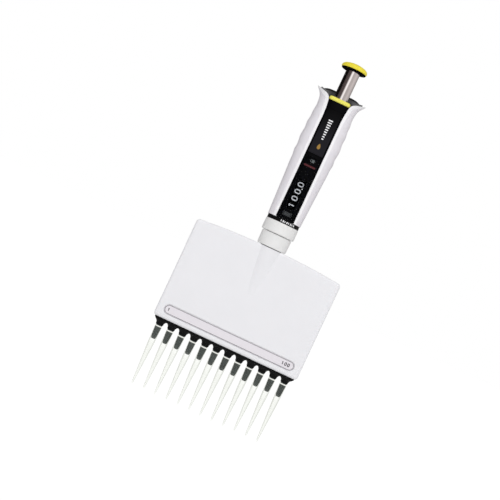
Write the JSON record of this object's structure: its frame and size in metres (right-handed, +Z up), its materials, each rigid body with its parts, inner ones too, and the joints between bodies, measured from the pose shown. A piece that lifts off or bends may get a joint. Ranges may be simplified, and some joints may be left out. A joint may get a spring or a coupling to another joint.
{
  "type": "multichannel pipette",
  "caption": "Hand-held mechanical multichannel pipette: plunger button, grip with volume display, swivelling flat module and a row of disposable tips.",
  "frame": {"origin": "centre of the row of tip ends, on the plunger axis", "axes": "+Z up along the plunger axis to the button, +X along the row of tips, -Y towards the volume display, +Y towards the finger hook"},
  "size_m": [0.113, 0.0505, 0.2796],
  "materials": {
    "shell_white": "satin",
    "module_white": "satin",
    "fitting_white": "smooth",
    "cover_grey": "fine grain",
    "panel_black": "polished",
    "slider_black": "satin",
    "window_clear": "polished",
    "wheel_black": "satin",
    "yellow": "smooth",
    "black_plastic": "fine grain",
    "tube_steel": "polished",
    "steel": "turned",
    "spring_steel": "drawn wire",
    "screw_steel": "turned",
    "chassis_plastic": "moulded",
    "aluminium": "machined",
    "block_plastic": "machined",
    "cone_plastic": "smooth",
    "seal_rubber": "smooth",
    "washer_ptfe": "smooth",
    "label_film": "film",
    "tip_clear": "translucent"
  },
  "bodies": {
    "handle": {"handle_shell": "shell_white", "rear_cover": "cover_grey", "finger_hook": "cover_grey", "handle_screws": "screw_steel", "front_panel": "panel_black", "display_window": "window_clear", "chassis": "chassis_plastic", "chassis_base": "black_plastic", "guide_bush": "chassis_plastic", "colour_ring": "yellow", "coupling_nut": "fitting_white", "wheel_clip": "steel", "ejector_springs": "spring_steel"},
    "setting": {"setting_sleeve": "chassis_plastic"},
    "plunger": {"plunger_tube": "tube_steel", "push_rod": "steel", "button_base": "black_plastic", "button_cap": "yellow"},
    "stop": {"stop_sleeve": "steel", "blowout_spring": "spring_steel"},
    "tenths": {"tenths_wheel": "wheel_black"},
    "units": {"units_wheel": "wheel_black"},
    "tens": {"tens_wheel": "wheel_black"},
    "hundreds": {"hundreds_wheel": "wheel_black"},
    "lock": {"lock_slider": "slider_black"},
    "ejector": {"ejector_key": "cover_grey", "ejector_strip": "steel", "ejector_sleeve": "steel"},
    "module": {"housing_front": "module_white", "housing_rear": "module_white", "label_plate": "label_film", "housing_screws": "screw_steel", "swivel_collar": "fitting_white", "swivel_washer": "washer_ptfe", "neck_tube": "chassis_plastic", "top_plate": "chassis_plastic", "guide_posts": "steel", "cylinder_block": "block_plastic", "seal_plate": "aluminium", "piston_seals": "seal_rubber", "cone_orings": "seal_rubber", "tip_cones": "cone_plastic", "cone_retainer": "aluminium", "retainer_screws": "screw_steel", "return_springs": "spring_steel"},
    "carriage": {"piston_carriage": "aluminium", "carriage_stem": "steel", "pistons": "steel"},
    "stripper": {"ejector_yoke": "black_plastic", "ejector_side_rods": "steel", "ejector_plate": "black_plastic"},
    "tips": {"pipette_tips": "tip_clear"}
  },
  "joints": [
    {"name": "volume_turn", "type": "hinge", "parent": "handle", "child": "setting", "pos_m": [0, 0, 0.2], "axis": [0, 0, 1], "range_deg": [-6480, 0]},
    {"name": "plunger_press", "type": "slide", "parent": "setting", "child": "plunger", "axis": [0, 0, -1], "range_m": [0, 0.01815], "deforming": ["blowout_spring"]},
    {"name": "stop_advance", "type": "slide", "parent": "handle", "child": "stop", "axis": [0, 0, 1], "range_m": [0, 0.01274]},
    {"name": "tenths_spin", "type": "hinge", "parent": "handle", "child": "tenths", "pos_m": [0, 0, 0.184], "axis": [0, 0, 1], "range_deg": [-32400, 0]},
    {"name": "units_spin", "type": "hinge", "parent": "handle", "child": "units", "pos_m": [0, 0, 0.178], "axis": [0, 0, 1], "range_deg": [-3240, 0]},
    {"name": "tens_spin", "type": "hinge", "parent": "handle", "child": "tens", "pos_m": [0, 0, 0.173], "axis": [0, 0, 1], "range_deg": [-324, 0]},
    {"name": "hundreds_spin", "type": "hinge", "parent": "handle", "child": "hundreds", "pos_m": [0, 0, 0.168], "axis": [0, 0, 1], "range_deg": [-32.4, 0]},
    {"name": "lock_slide", "type": "slide", "parent": "handle", "child": "lock", "axis": [0, 0, -1], "range_m": [0, 0.0024]},
    {"name": "eject_press", "type": "slide", "parent": "handle", "child": "ejector", "axis": [0, 0, -1], "range_m": [0, 0.0065], "deforming": ["ejector_springs"]},
    {"name": "module_swivel", "type": "hinge", "parent": "handle", "child": "module", "pos_m": [0, 0, 0.147], "axis": [0, 0, 1], "continuous": true},
    {"name": "piston_stroke", "type": "slide", "parent": "module", "child": "carriage", "axis": [0, 0, -1], "range_m": [0, 0.01815], "deforming": ["return_springs"]},
    {"name": "strip_stroke", "type": "slide", "parent": "module", "child": "stripper", "axis": [0, 0, -1], "range_m": [0, 0.0065]},
    {"name": "tips_off", "type": "slide", "parent": "module", "child": "tips", "axis": [0, 0, -1], "range_m": [0, 0.013]}
  ],
  "couplings": [
    {"joint": "stop_advance", "follows": "volume_turn", "m_per_rad": -0.00011256},
    {"joint": "tenths_spin", "follows": "volume_turn", "ratio": 5},
    {"joint": "units_spin", "follows": "volume_turn", "ratio": 0.5},
    {"joint": "tens_spin", "follows": "volume_turn", "ratio": 0.05},
    {"joint": "hundreds_spin", "follows": "volume_turn", "ratio": 0.005},
    {"joint": "piston_stroke", "follows": "plunger_press", "ratio": 1},
    {"joint": "strip_stroke", "follows": "eject_press", "ratio": 1},
    {"joint": "tips_off", "follows": "eject_press", "ratio": 2}
  ]
}
